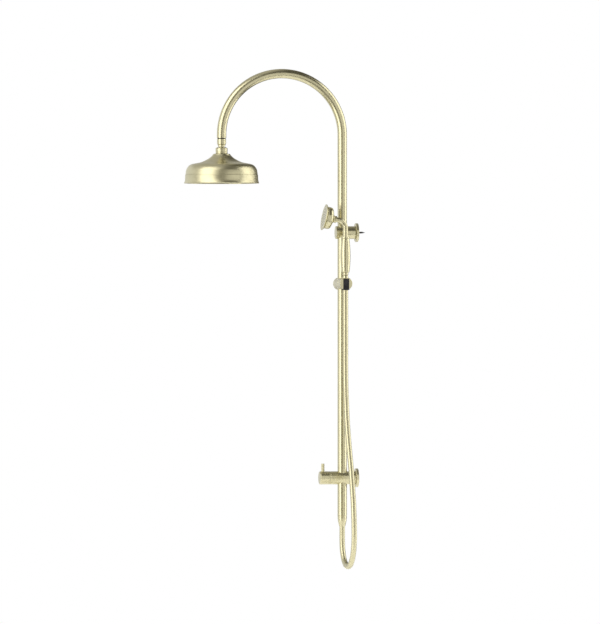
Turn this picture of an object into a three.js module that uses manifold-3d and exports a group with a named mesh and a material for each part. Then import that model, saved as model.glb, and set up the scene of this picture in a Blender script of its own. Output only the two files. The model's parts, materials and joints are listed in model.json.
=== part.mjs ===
// Rainfall shower column: riser with swan neck, swivelling rose, diverter, slider, handset and hose.
// Millimetres, +Z up. The wall is the plane y = 0 and the room is at -Y. The origin is on the wall,
// at the centre of the lower rosette.
import * as THREE from 'three';
import { mergeVertices } from 'three/addons/utils/BufferGeometryUtils.js';
import Module from 'manifold-3d';

const wasm = await Module();
wasm.setup();

// ---------- driving dimensions ----------
const standoff = 42; // wall to riser axis
const bracketSpacing = 654; // lower to upper bracket axis
const neckRise = 260; // upper bracket axis to the arch's centre
const archRadius = 163; // swan neck centreline
const armDrop = 9; // straight end of the arm below the arch's centre
const outletDrop = 99.7; // lower bracket axis to the outlet pipe's end
const sliderDrop = 136.3; // upper bracket axis to slider axis

const pipeRadius = 12.5;
const pipeWall = 1.2;
const lowerBodyRadius = 17.5;
const upperBodyRadius = 17;
const sliderRadius = 17;
const rosetteRadius = 25;
const rosetteThickness = 7;
const upperReach = 18; // riser axis to the front of the upper bracket
const lowerReach = 62; // riser axis to the front of the diverter handle
const handleLength = 26.5;
const leverRadius = 4.25;
const leverHeight = 20.5; // above the handle's surface

const roseRadius = 100;
const roseHeight = 79;
const rimHeight = 23;
const ballRadius = 9.5;
const nutRadius = 16;
const nozzleRings = [1, 6, 12, 18];
const nozzlePitch = 24;
const nozzleRadius = 2;

const sliderFar = -44; // lock knob's end along X
const sliderNear = 60; // cradle's front face along X
const handsetX = 48;
const lockKnobLength = 22;
const bushRadius = 10.8;
const slotWidth = 16;
const gripLength = 90;
const gripRadius = 13.4;
const neckRadius = 7;
const neckBend = 21; // bend radius of the handset's neck
const headTilt = 11; // degrees that the handset's face looks up
const headRadius = 35.3;
const hoseRadius = 7.5;

// ---------- clearances ----------
const fit = 0.15; // radial, between still pieces
const run = 0.12; // radial, between turning pieces
const seat = 0.3; // along an axis, between pieces that seat on each other

// ---------- places worked out from the above ----------
const upperZ = bracketSpacing;
const archZ = upperZ + neckRise;
const armEndZ = archZ - armDrop;
const armY = -standoff - 2 * archRadius;
const sliderZ = upperZ - sliderDrop;
const upperNose = standoff + upperReach;
const lowerNose = standoff + lowerReach;
const pipeBore = pipeRadius - pipeWall;
const pipeSides = 16; // facets of the swan neck
const insideBore = pipeBore * Math.cos(Math.PI / pipeSides) - fit; // clears the bore's flats
const socketRadius = pipeRadius + fit;

// ---------- finishes ----------
const finish = (color, roughness, metalness) =>
  new THREE.MeshStandardMaterial({ color, roughness, metalness });
const agedBrass = finish(0xc6c09b, 0.32, 1);
const rawBrass = finish(0xc9a95c, 0.4, 1);
const darkSteel = finish(0x66666a, 0.4, 1);
const stainless = finish(0xb8bcc0, 0.35, 1);
const blackPlastic = finish(0x1e1c1d, 0.5, 0);
const whitePlastic = finish(0xe6e6e0, 0.45, 0);
const rubber = finish(0x1b1b1b, 0.8, 0);
const silicone = finish(0x8f8f8b, 0.6, 0);
const hoseFinish = finish(0xc6c09b, 0.35, 1);

// ---------- tools ----------
const toAxis = {
  '+z': (g) => g.rotateX(Math.PI / 2),
  '-y': (g) => g.rotateX(Math.PI),
  '+x': (g) => g.rotateZ(-Math.PI / 2),
};

// A turned solid. The outline is [radius, station] pairs; stations run along the axis.
function turned(axis, outline, sides = 20, at = [0, 0, 0]) {
  let area = 0;
  outline.forEach(([r, s], i) => {
    const [r2, s2] = outline[(i + 1) % outline.length];
    area += r * s2 - r2 * s;
  });
  const points = outline.map(([r, s]) => new THREE.Vector2(r, s));
  if (area < 0) points.reverse();
  const open = points.findIndex((p, i) => p.x === 0 && points[(i + 1) % points.length].x === 0);
  if (open >= 0) points.push(...points.splice(0, open + 1));
  else points.push(points[0].clone());
  const shape = new THREE.LatheGeometry(points, sides);
  return toAxis[axis](shape).translate(...at);
}

const ring = (axis, inner, outer, from, to, sides, at) =>
  turned(axis, [[inner, from], [outer, from], [outer, to], [inner, to]], sides, at);

const rod = (axis, radius, from, to, sides, at) => ring(axis, 0, radius, from, to, sides, at);

// Points on a circle about the axis's station `centre`, between two angles from the radial direction.
function arc(centre, radius, from, to, steps) {
  const points = [];
  for (let i = 0; i <= steps; i++) {
    const angle = from + ((to - from) * i) / steps;
    points.push([radius * Math.cos(angle), centre + radius * Math.sin(angle)]);
  }
  return points;
}

// A quarter-round edge of radius `edge`, from the face at `face` to the side at `side`.
function rounded(side, face, edge, towards) {
  const middle = 1 - Math.SQRT1_2;
  return [
    [side - edge, face],
    [side - edge * middle, face + towards * edge * middle],
    [side, face + towards * edge],
  ];
}

function toManifold(geometry) {
  const bare = geometry.clone();
  bare.deleteAttribute('normal');
  bare.deleteAttribute('uv');
  const merged = mergeVertices(bare, 1e-4);
  const index = merged.index.array;
  const kept = [];
  for (let i = 0; i < index.length; i += 3) {
    const [a, b, c] = [index[i], index[i + 1], index[i + 2]];
    if (a !== b && b !== c && a !== c) kept.push(a, b, c);
  }
  const vertProperties = new Float32Array(merged.attributes.position.array);
  const triVerts = new Uint32Array(kept);
  return new wasm.Manifold(new wasm.Mesh({ numProp: 3, vertProperties, triVerts }));
}

function toGeometry(manifold) {
  const { vertProperties, triVerts } = manifold.getMesh();
  const geometry = new THREE.BufferGeometry();
  geometry.setAttribute('position', new THREE.BufferAttribute(new Float32Array(vertProperties), 3));
  geometry.setIndex([...triVerts]);
  geometry.computeVertexNormals();
  return geometry;
}

const cut = (body, ...tools) =>
  toGeometry(tools.reduce((left, tool) => left.subtract(toManifold(tool)), toManifold(body)));

const join = (body, ...others) =>
  toGeometry(others.reduce((left, other) => left.add(toManifold(other)), toManifold(body)));

const polygon = (radius, sides, clockwise) => {
  const points = [];
  for (let i = 0; i < sides; i++) {
    const angle = ((clockwise ? -i : i) * 2 * Math.PI) / sides;
    points.push(new THREE.Vector2(radius * Math.cos(angle), radius * Math.sin(angle)));
  }
  return points;
};

// A pipe along a curve: hollow when it has a bore.
function pipeAlong(path, radius, bore, sides, steps) {
  const section = new THREE.Shape(polygon(radius, sides, false));
  if (bore) section.holes.push(new THREE.Path(polygon(bore, sides, true)));
  return new THREE.ExtrudeGeometry(section, { steps, extrudePath: path, bevelEnabled: false });
}

// A path of stretches, each with its own count of steps, so straight stretches take only one.
class StretchPath extends THREE.Curve {
  constructor(stretches) {
    super();
    this.nodes = [stretches[0].at(0)];
    for (const { at, steps } of stretches) {
      for (let i = 1; i <= steps; i++) this.nodes.push(at(i / steps));
    }
    this.steps = this.nodes.length - 1;
  }

  getPoint(t, target = new THREE.Vector3()) {
    const along = Math.min(t * this.steps, this.steps);
    const i = Math.min(Math.floor(along), this.steps - 1);
    return target.lerpVectors(this.nodes[i], this.nodes[i + 1], along - i);
  }

  getPointAt(u, target) {
    return this.getPoint(u, target);
  }

  getTangentAt(u, target) {
    return this.getTangent(u, target);
  }
}

const line = (from, to) => ({ at: (t) => new THREE.Vector3().lerpVectors(from, to, t), steps: 1 });

// An arc in the YZ plane, from angle `from` to `to`, counted from +Y towards +Z.
const bend = (centreY, centreZ, radius, from, to, steps) => ({
  at: (t) => {
    const angle = from + (to - from) * t;
    return new THREE.Vector3(0, centreY + radius * Math.cos(angle), centreZ + radius * Math.sin(angle));
  },
  steps,
});

function part(group, name, geometry, material) {
  const mesh = new THREE.Mesh(geometry, material);
  mesh.name = name;
  group.add(mesh);
}

function assembly(parent, x, y, z) {
  const group = new THREE.Group();
  group.position.set(x, y, z);
  parent.add(group);
  return group;
}

const column = new THREE.Group();

// ---------- lower bracket: inlet, diverter and its handle (stations are distances from the wall) ----------
const inletRadius = 10.4;
const inletFlange = 13;
const inletDepth = 22;
const bodyStart = rosetteThickness + seat;
const handleStart = lowerNose - handleLength;
const cartridgeStart = standoff + socketRadius + 3.2;
const cartridgeRadius = 13.4;
const spindleRadius = 4;
const socketDepth = 8; // bracket axis to the shoulder that a pipe stops on

function rosette(group, name, hole) {
  const outline = [[hole, 0], [rosetteRadius, 0]];
  const edge = rounded(rosetteRadius, rosetteThickness, 2, -1).reverse();
  part(group, name, turned('-y', [...outline, ...edge, [hole, rosetteThickness]], 28), agedBrass);
}

function inlet(group) {
  const bore = 7.5;
  const recess = inletFlange - 2.5;
  const step = rosetteThickness + seat / 2;
  const outline = [
    [bore, inletDepth],
    [inletRadius, inletDepth],
    [inletRadius, step],
    [inletFlange, step],
    [inletFlange, 0.6],
    [recess, 0.6],
    [recess, step - 2],
    [bore, step - 2],
  ];
  part(group, 'inlet_union', turned('-y', outline, 20), rawBrass);
  part(group, 'inlet_washer', ring('-y', bore - 1.5, recess - fit, 3, step - 2.1, 16), rubber);
  part(group, 'inlet_filter', rod('-y', bore - fit, step, step + 1, 16), stainless);
}

function diverterBody(group) {
  const shell = rod('-y', lowerBodyRadius, bodyStart, handleStart - seat / 2, 32);
  const across = [0, -standoff, 0];
  const tools = [
    rod('-y', inletRadius + fit, bodyStart - 1, inletDepth + 2, 20),
    rod('-y', 6, inletDepth, standoff, 16),
    rod('-y', 6, standoff, cartridgeStart, 16),
    rod('-y', cartridgeRadius + fit, cartridgeStart - 1.6, handleStart, 24),
    rod('+z', 9, -socketDepth - 1, socketDepth + 1, 24, across),
    rod('+z', socketRadius, socketDepth, lowerBodyRadius + 1, 24, across),
    rod('+z', socketRadius, -lowerBodyRadius - 1, -socketDepth, 24, across),
  ];
  part(group, 'diverter_body', cut(shell, ...tools), agedBrass);
}

function cartridge(group) {
  const neckEnd = handleStart - 1;
  const nutStart = cartridgeStart + 9;
  const bore = spindleRadius + run;
  const outline = [
    [bore, cartridgeStart + 0.4],
    [cartridgeRadius, cartridgeStart + 0.4],
    [cartridgeRadius, nutStart],
    [8, nutStart],
    [8, neckEnd],
    [bore, neckEnd],
  ];
  part(group, 'diverter_cartridge', turned('-y', outline, 24), whitePlastic);
  part(group, 'cartridge_nut', ring('-y', 8 + fit, cartridgeRadius, nutStart + seat, handleStart - 1, 24), rawBrass);
  part(group, 'cartridge_seal', ring('-y', 8, 12.4, cartridgeStart - 1.5, cartridgeStart + 0.2, 16), rubber);
}

function diverterHandle(group) {
  const leverAt = lowerNose - 9.5;
  const grubAt = lowerNose - 16;
  const cavity = lowerBodyRadius - 3;
  const outline = [
    [cavity, handleStart + seat / 2],
    [lowerBodyRadius, handleStart + seat / 2],
    ...rounded(lowerBodyRadius, lowerNose, 1.2, -1).reverse(),
    [0, lowerNose],
    [0, lowerNose - 8],
    [spindleRadius + fit, lowerNose - 8],
    [spindleRadius + fit, handleStart + 8],
    [cavity, handleStart + 8],
  ];
  const leverFoot = spindleRadius + 5;
  const knob = cut(
    turned('-y', outline, 32),
    rod('+z', leverRadius + fit, leverFoot, lowerBodyRadius + 1, 16, [0, -leverAt, 0]),
    rod('+z', 2.2, -lowerBodyRadius - 1, -spindleRadius, 12, [0, -grubAt, 0]),
  );
  part(group, 'diverter_handle', knob, agedBrass);
  const tip = lowerBodyRadius + leverHeight;
  const pin = [[0, leverFoot + seat], [leverRadius, leverFoot + seat]];
  const crown = rounded(leverRadius, tip, 1, -1).reverse();
  part(group, 'lever_pin', turned('+z', [...pin, ...crown, [0, tip]], 16, [0, -leverAt, 0]), agedBrass);
  const grub = rod('+z', 2, -lowerBodyRadius + 1.2, -spindleRadius - fit - 0.2, 12, [0, -grubAt, 0]);
  part(group, 'handle_grub_screw', grub, darkSteel);
  const spindle = rod('-y', spindleRadius, cartridgeStart + 1, lowerNose - 8.3, 24);
  part(group, 'diverter_spindle', spindle, rawBrass);
}

rosette(column, 'lower_wall_rosette', inletFlange + seat);
inlet(column);
diverterBody(column);
cartridge(column);
diverterHandle(column);

// ---------- riser, outlet pipe and their seals ----------
const pipeStart = socketDepth + 2.2;
const pipeMeet = 0.4; // half the gap between riser and swan neck inside the upper bracket
const onRiser = assembly(column, 0, -standoff, 0);

function outletNut(group) {
  const top = -outletDrop - seat;
  const spigot = insideBore;
  const length = 29;
  const outline = [
    [5, top + 8],
    [spigot, top + 8],
    [spigot, top],
    [pipeRadius, top],
    [pipeRadius - 0.3, top - 0.28 * length],
    [pipeRadius - 1.2, top - 0.52 * length],
    [pipeRadius - 2.5, top - 0.72 * length],
    [hoseRadius + 1, top - 0.94 * length],
    [hoseRadius + 0.5, top - length],
    [5, top - length],
  ];
  part(group, 'outlet_cone_nut', turned('+z', outline, 20), agedBrass);
}

part(onRiser, 'riser_pipe', ring('+z', pipeBore, pipeRadius, pipeStart, upperZ - pipeMeet, 24), agedBrass);
part(onRiser, 'outlet_pipe', ring('+z', pipeBore, pipeRadius, -outletDrop, -pipeStart, 24), agedBrass);
part(onRiser, 'riser_seal', ring('+z', pipeBore - 1, pipeRadius, socketDepth + 0.2, pipeStart - 0.2, 16), rubber);
part(onRiser, 'outlet_seal', ring('+z', pipeBore - 1, pipeRadius, -pipeStart + 0.2, -socketDepth - 0.2, 16), rubber);
outletNut(onRiser);

// ---------- upper bracket ----------
const studRadius = 2.5;
const studOut = 20; // past the wall plane
const bossRadius = 9;
const bossLength = 20;
const capThickness = 1.6;
const atUpper = assembly(column, 0, 0, upperZ);

function upperBracket(group) {
  const bodyEnd = upperNose - capThickness - 0.1;
  const grubAt = 14;
  const across = [0, -standoff, 0];
  const body = cut(
    rod('-y', upperBodyRadius, bodyStart, bodyEnd, 32),
    rod('-y', bossRadius + fit, bodyStart - 1, bossLength + 5, 24),
    rod('-y', 8 + fit, bodyEnd - 0.9, bodyEnd + 1, 24),
    rod('+z', socketRadius, -upperBodyRadius - 1, upperBodyRadius + 1, 24, across),
    rod('+z', 2.2, -upperBodyRadius - 1, -bossRadius + 2, 12, [0, -grubAt, 0]),
  );
  part(group, 'upper_bracket_body', body, agedBrass);
  const cap = [
    [0, bodyEnd - 0.7],
    [8, bodyEnd - 0.7],
    [8, bodyEnd + 0.1],
    [upperBodyRadius, bodyEnd + 0.1],
    ...rounded(upperBodyRadius, upperNose, 1, -1).reverse(),
    [0, upperNose],
  ];
  part(group, 'upper_bracket_cap', turned('-y', cap, 24), agedBrass);
  const grub = rod('+z', 2, -upperBodyRadius + 1, -bossRadius - 0.2, 12, [0, -grubAt, 0]);
  part(group, 'upper_grub_screw', grub, darkSteel);
  part(group, 'pipe_coupler', ring('+z', insideBore - 1.2, insideBore, -22, 22, 20, across), rawBrass);
}

function wallFixing(group) {
  part(group, 'wall_boss', ring('-y', studRadius + fit, bossRadius, 0.6, bossLength, 20), rawBrass);
  const stud = [[0, bossLength + 4.2], [studRadius, bossLength + 4.2], [studRadius, 8 - studOut], [0, -studOut]];
  part(group, 'wall_stud', turned('-y', stud, 12), darkSteel);
  const nut = rod('-y', 4.6, bossLength + 0.2, bossLength + 4, 6);
  const thread = rod('-y', studRadius + fit, bossLength, bossLength + 5, 12);
  part(group, 'stud_nut', cut(nut, thread), darkSteel);
}

rosette(atUpper, 'upper_wall_rosette', bossRadius + seat);
wallFixing(atUpper);
upperBracket(atUpper);

// ---------- swan neck ----------
function swanNeck(group) {
  const crown = -standoff - archRadius;
  const path = new StretchPath([
    line(new THREE.Vector3(0, -standoff, upperZ + pipeMeet), new THREE.Vector3(0, -standoff, archZ)),
    bend(crown, archZ, archRadius, 0, Math.PI, 20),
    line(new THREE.Vector3(0, armY, archZ), new THREE.Vector3(0, armY, armEndZ)),
  ]);
  part(group, 'swan_neck_pipe', pipeAlong(path, pipeRadius, pipeBore, pipeSides, path.steps), agedBrass);
}

swanNeck(column);

// ---------- rose joint: heights are from the ball's centre ----------
const ballDrop = 49; // arm end to ball centre
const stemRadius = 5;
const nutTop = 24.2;
const domeRadius = Math.hypot(nutTop, nutRadius - 4.5); // the nut's top is round about the ball
const liner = 1.35; // ball ring thickness
const ringInner = ballRadius + fit;
const ringOuter = ringInner + liner;
const collarBore = ringOuter + 2.1;
const roseTop = 6.8;
const seatFoot = -ballRadius - 3.4;
const atBall = assembly(column, 0, armY, armEndZ - ballDrop);

const onSphere = (radius, r) => Math.sqrt(radius * radius - r * r);

function ballStem(group) {
  const armEnd = ballDrop;
  const sleeveTop = armEnd - 2.5;
  const sleeve = pipeRadius - 0.5;
  const neck = pipeRadius - 2.6;
  const neckTop = armEnd - 18;
  const under = domeRadius + 0.5;
  const threadRadius = pipeBore - 2;
  const bore = 3;
  const lowest = -Math.acos(bore / ballRadius);
  const highest = Math.acos(stemRadius / ballRadius);
  const outline = [
    ...arc(0, ballRadius, lowest, highest, 6),
    [stemRadius, onSphere(under, stemRadius)],
    [8, onSphere(under, 8)],
    [neck, onSphere(under, neck)],
    [neck, neckTop],
    [sleeve, neckTop + 0.6],
    [sleeve, sleeveTop - 0.6],
    [sleeve - 0.6, sleeveTop],
    [threadRadius, sleeveTop],
    [threadRadius, armEnd + 8],
    [bore, armEnd + 8],
  ];
  part(group, 'ball_stem', turned('+z', outline, 20), agedBrass);
  const gap = ring('+z', threadRadius + fit, pipeRadius - 1.5, sleeveTop + 0.2, armEnd - 0.2, 24);
  part(group, 'arm_end_ring', gap, blackPlastic);
  const insert = ring('+z', threadRadius + fit, insideBore, armEnd + 0.2, armEnd + 8.5, 20);
  part(group, 'arm_end_insert', insert, rawBrass);
}

function ballRing(group) {
  const low = 0.5;
  const high = 4;
  const inner = arc(0, ringInner, Math.asin(low / ringInner), Math.asin(high / ringInner), 2);
  const outer = arc(0, ringOuter, Math.asin(high / ringOuter), Math.asin(low / ringOuter), 2);
  part(group, 'ball_ring', turned('+z', [...inner, ...outer], 20), whitePlastic);
}

function swivelNut(group) {
  const cup = ringOuter + fit;
  const lip = ballRadius - 3.4;
  const mouth = onSphere(cup, lip) - 0.73;
  const skirt = collarBore - fit;
  const foot = roseTop + 0.2;
  const shoulder = nutRadius - 4.5;
  const outline = [
    [skirt, 0.5],
    [skirt, foot],
    [nutRadius - 0.4, foot],
    [nutRadius, foot + 0.4],
    [nutRadius, onSphere(domeRadius, nutRadius)],
    [nutRadius - 1.5, onSphere(domeRadius, nutRadius - 1.5)],
    [nutRadius - 3, onSphere(domeRadius, nutRadius - 3)],
    [shoulder, nutTop],
    [mouth, lip + 0.2],
    [mouth, lip],
    ...arc(0, cup, Math.asin((lip - 0.1) / cup), Math.asin(0.5 / cup), 3),
  ];
  part(group, 'swivel_nut', turned('+z', outline, 24), agedBrass);
}

ballStem(atBall);
ballRing(atBall);
swivelNut(atBall);

// ---------- rose: heights are from the rim's bottom ----------
const roseBottom = roseTop - roseHeight;
const atRim = assembly(atBall, 0, 0, roseBottom);
const rimBore = roseRadius - 6;
const plateTop = 4.6;
const matTop = plateTop + 2.2;
const gasketTop = matTop + 2.2;
const shoulderRadius = roseRadius - 3.8;

// Outer outline of the rose's bell, as [radius, height], from its shoulder ring up to its top.
function bellOutline(steps) {
  const s = roseRadius / 100;
  const lift = roseHeight - 79;
  const stations = [
    [shoulderRadius, rimHeight + 0.4],
    [95.2 * s, 31],
    [93.3 * s, 38.5],
    [88.2 * s, 46 + 0.3 * lift],
    [79 * s, 51.5 + 0.4 * lift],
    [54.5 * s, 56.7 + 0.6 * lift],
    [37.5 * s, 64.7 + 0.8 * lift],
    [27, 72.5 + lift],
    [22, roseHeight],
  ];
  const curve = new THREE.SplineCurve(stations.map(([r, z]) => new THREE.Vector2(r, z)));
  return curve.getPoints(steps).map((p) => [p.x, p.y]);
}

function roseShell(group) {
  const wall = 2;
  const outside = bellOutline(14);
  const waterHole = 6;
  const socketFloor = -roseBottom + seatFoot - seat;
  const cavityTop = socketFloor - 4;
  const neckRadiusInside = 30;
  const inside = outside
    .filter(([r, z]) => r > neckRadiusInside && z < cavityTop + 7)
    .map(([r, z]) => [r - wall, z - wall])
    .reverse();
  const spigot = rimBore - fit;
  const foot = gasketTop + 0.3;
  const outline = [
    [spigot, foot],
    [spigot, rimHeight + 0.3],
    ...outside,
    [collarBore, roseHeight],
    [collarBore, socketFloor],
    [waterHole, socketFloor],
    [waterHole, cavityTop],
    ...inside,
    [spigot - wall, rimHeight],
    [spigot - wall, foot],
  ];
  part(group, 'rose_shell', turned('+z', outline, 32), agedBrass);
}

function roseRim(group) {
  const outline = [
    [rimBore - 2.6, 0.5],
    [roseRadius - 0.6, 0.4],
    [roseRadius, 1.6],
    [roseRadius - 1.1, 4.2],
    [roseRadius - 2.1, 7.6],
    [roseRadius - 2.7, 12],
    [roseRadius - 2.9, rimHeight - 1],
    [roseRadius - 3.2, rimHeight],
    [rimBore, rimHeight],
    [rimBore, 2.9],
    [rimBore - 2.6, 2.9],
  ];
  part(group, 'rose_rim', turned('+z', outline, 32), agedBrass);
}

// Places of the nozzles on rings about the axis, each ring a pitch wider than the last.
function nozzlePlaces(rings, pitch) {
  return rings.flatMap((count, k) =>
    Array.from({ length: count }, (_, i) => {
      const angle = (2 * Math.PI * (i + 0.5 * (k % 2))) / count;
      return [k * pitch * Math.cos(angle), k * pitch * Math.sin(angle)];
    }),
  );
}

// A pierced face plate with a soft mat behind it, whose nozzles come through the holes.
function sprayFace(group, prefix, radius, bottom, places, nozzle, sides) {
  const plate = 1.5;
  const mat = 2;
  const holes = places.map(([x, y]) => rod('+z', nozzle + fit, bottom - 1, bottom + plate + 1, 6, [x, y, 0]));
  const face = rod('+z', radius, bottom, bottom + plate, sides);
  part(group, `${prefix}_face_plate`, cut(face, ...holes), agedBrass);
  const base = bottom + plate + 0.2;
  const tips = places.map(([x, y]) => rod('+z', nozzle, bottom - 1.8, base + mat / 2, 6, [x, y, 0]));
  part(group, `${prefix}_nozzle_mat`, join(rod('+z', radius, base, base + mat, sides), ...tips), silicone);
}

const roseNozzles = nozzlePlaces(nozzleRings, nozzlePitch);
roseShell(atRim);
roseRim(atRim);
sprayFace(atRim, 'rose', rimBore - fit, plateTop - 1.5, roseNozzles, nozzleRadius, 32);
part(atRim, 'rose_gasket', ring('+z', rimBore - 6, rimBore - 1, matTop + 0.2, gasketTop, 24), rubber);

function ballSeat(group) {
  const wide = collarBore - 0.4;
  const mouth = ballRadius - 2.2;
  const outline = [[4, seatFoot], [wide, seatFoot], [wide, -mouth], [mouth, -mouth], [4, -ballRadius - 1.1]];
  part(group, 'ball_seat', turned('+z', outline, 20), rubber);
}

ballSeat(atBall);

// ---------- slider and its lock knob: stations run along +X from the riser axis ----------
const linerInner = pipeRadius + 0.08;
const linerOuter = linerInner + 0.85;
const linerBore = linerOuter + 0.2;
const knobInner = sliderFar + lockKnobLength;
const sliderEnd = linerBore + 11.4;
const cradleStart = sliderEnd + 1;
const stubRadius = 8;
const stubEnd = cradleStart + 4;
const lockRadius = 4;
const atSlider = assembly(column, 0, -standoff, sliderZ);

function sliderBody(group) {
  const outline = [
    [0, knobInner + seat],
    [sliderRadius, knobInner + seat],
    [sliderRadius, sliderEnd],
    [stubRadius, sliderEnd],
    [stubRadius, stubEnd],
    [0, stubEnd],
  ];
  const body = cut(
    turned('+x', outline, 32),
    rod('+z', linerBore, -sliderRadius - 1, sliderRadius + 1, 24),
    rod('+x', lockRadius + run, knobInner - 1, 0, 16),
    rod('+x', 2.2, linerBore - 2, stubEnd + 1, 12),
  );
  part(group, 'slider_body', body, agedBrass);
  part(group, 'slider_liner', ring('+z', linerInner, linerOuter, -12, 12, 24), whitePlastic);
  part(group, 'brake_pad', rod('+x', lockRadius - 0.1, -linerBore - 3, -linerBore - 0.1, 12), blackPlastic);
  const washer = ring('+x', stubRadius + 0.4, sliderRadius - 0.6, sliderEnd + 0.2, cradleStart - 0.2, 20);
  part(group, 'friction_washer', washer, blackPlastic);
}

function lockKnob(group) {
  const inner = knobInner;
  const tip = linerBore + 3.3;
  const outline = [
    [lockRadius + fit, inner],
    [sliderRadius, inner],
    ...rounded(sliderRadius, sliderFar, 1.6, 1).reverse(),
    [0, sliderFar],
    [0, sliderFar + 5],
    [lockRadius + fit, sliderFar + 5],
  ];
  part(group, 'lock_knob', turned('+x', outline, 24), agedBrass);
  part(group, 'lock_screw', rod('+x', lockRadius - 0.1, sliderFar + 5.3, -tip, 16), darkSteel);
}

// ---------- cradle: turns about X on the slider's stub ----------
const bushTop = 12.7;
const bushBottom = -sliderRadius + 0.2;
const nutSeatTop = hoseRadius + 1.1;
const nutSeatBottom = hoseRadius + 0.6;

function cradle(group) {
  const outline = [
    [0, cradleStart],
    [sliderRadius, cradleStart],
    ...rounded(sliderRadius, sliderNear, 1.2, -1).reverse(),
    [0, sliderNear],
  ];
  const slotDepth = sliderNear - handsetX + 2;
  const slotAt = handsetX + slotDepth / 2;
  const mouth = new THREE.BoxGeometry(slotDepth, slotWidth, 3 * sliderRadius).translate(slotAt, 0, 0);
  const headAt = handsetX - bushRadius - fit;
  const body = cut(
    turned('+x', outline, 32),
    rod('+x', stubRadius + run, cradleStart - 1, stubEnd + seat, 24),
    rod('+z', bushRadius + fit, -2 * sliderRadius, 2 * sliderRadius, 24, [handsetX, 0, 0]),
    mouth,
    rod('+x', 2.2, stubEnd, handsetX, 12),
    rod('+x', 4.3, headAt - 1.8, handsetX, 16),
  );
  part(group, 'cradle_body', body, agedBrass);
  const screw = [
    [0, linerBore + 0.6],
    [2, linerBore + 0.6],
    [2, headAt - 1.5],
    [4.1, headAt - 1.5],
    [4.1, headAt - 0.3],
    [0, headAt - 0.3],
  ];
  part(group, 'pivot_screw', turned('+x', screw, 12), darkSteel);
}

function bush(group) {
  const tongueEnd = sliderNear - 0.2;
  const length = tongueEnd - handsetX;
  const height = bushTop - bushBottom;
  const tongue = new THREE.BoxGeometry(length, slotWidth - 2 * fit, height);
  tongue.translate(length / 2, 0, (bushTop + bushBottom) / 2);
  const bore = [
    [0, bushBottom - 1],
    [nutSeatBottom + fit, bushBottom - 1],
    [nutSeatBottom + fit, -8],
    [nutSeatTop + fit, bushTop],
    [nutSeatTop + fit, bushTop + 1],
    [0, bushTop + 1],
  ];
  const solid = join(rod('+z', bushRadius, bushBottom, bushTop, 24), tongue);
  const insert = cut(solid, turned('+z', bore, 20));
  part(group, 'cradle_bush', insert.translate(handsetX, 0, 0), blackPlastic);
}

sliderBody(atSlider);
lockKnob(atSlider);
cradle(atSlider);
bush(atSlider);

// ---------- handset: heights are from the slider's axis ----------
const nutBottom = -8;
const nutCollar = bushTop + seat;
const nutEnd = 21.6;
const tailEnd = 29.3;
const gripStart = tailEnd + seat;
const gripEnd = gripStart + gripLength;
const beadEnd = gripEnd + 4.5;
const riseEnd = beadEnd + 24;
const tailSpigot = neckRadius - 0.2; // in the grip's bore
const atHandset = assembly(atSlider, handsetX, 0, 0);

function hoseNut(group) {
  const tailHole = 4.8;
  const outline = [
    [6, nutBottom],
    [nutSeatBottom, nutBottom],
    [nutSeatTop, nutCollar - 1],
    [nutSeatTop - 0.1, nutCollar + 1.2],
    [nutSeatTop - 1.9, nutEnd - 0.6],
    [nutSeatTop - 2.4, nutEnd],
    [tailHole + fit, nutEnd],
    [tailHole + fit, nutCollar - 3],
    [6, nutCollar - 3],
  ];
  part(group, 'hose_cone_nut', turned('+z', outline, 16), agedBrass);
  part(group, 'hose_washer', ring('+z', 2.6, 5.8, nutCollar - 5.5, nutCollar - 3.2, 16), rubber);
}

function tail(group) {
  const bore = 3;
  const foot = nutCollar - 2.6;
  const outline = [
    [bore, foot],
    [4.8, foot],
    [4.8, nutEnd + seat],
    [6.6, nutEnd + seat],
    ...arc((nutEnd + tailEnd) / 2, 8, -0.35, 0.35, 4),
    [tailSpigot + 0.4, tailEnd],
    [tailSpigot, tailEnd],
    [tailSpigot, tailEnd + 10],
    [bore, tailEnd + 10],
  ];
  part(group, 'handset_tail', turned('+z', outline, 16), agedBrass);
}

function grip(group) {
  const end = 10.2;
  const swell = gripRadius - end;
  const profile = [];
  for (let i = 0; i <= 8; i++) {
    const t = i / 8;
    profile.push([end + swell * Math.sin(Math.PI * t) ** 0.8, gripStart + gripLength * t]);
  }
  const bore = tailSpigot + fit;
  const outline = [[bore, gripStart], ...profile, [bore, gripEnd]];
  part(group, 'handset_grip', turned('+z', outline, 20), agedBrass);
  const bead = [[neckRadius + fit, gripEnd + 0.2], ...arc((gripEnd + beadEnd) / 2, 10.4, -0.18, 0.18, 3)];
  bead.push([neckRadius + fit, beadEnd]);
  part(group, 'grip_bead', turned('+z', bead, 20), agedBrass);
}

const tilt = (headTilt * Math.PI) / 180;
const bendEnd = [-neckBend * (1 - Math.sin(tilt)), riseEnd + neckBend * Math.cos(tilt)];
const neckEnd = 8;
const headDirection = new THREE.Vector3(0, -Math.cos(tilt), Math.sin(tilt));

function neck(group) {
  const after = new THREE.Vector3(0, bendEnd[0], bendEnd[1]);
  const path = new StretchPath([
    line(new THREE.Vector3(0, 0, gripEnd - 12), new THREE.Vector3(0, 0, riseEnd)),
    bend(-neckBend, riseEnd, neckBend, 0, Math.PI / 2 - tilt, 7),
    line(after, after.clone().addScaledVector(headDirection, neckEnd)),
  ]);
  const outer = neckRadius - fit;
  part(group, 'handset_neck', pipeAlong(path, outer, outer - 1.3, 12, path.steps), agedBrass);
}

// The head's own axis runs out of the neck towards its face.
const head = assembly(atHandset, 0, bendEnd[0], bendEnd[1]);
head.quaternion.setFromUnitVectors(new THREE.Vector3(0, 0, 1), headDirection);
const cupStart = neckEnd + seat;
const faceAt = 42.3;
const rimStart = faceAt - 5.4;
const cupRadius = headRadius - 6;

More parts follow.
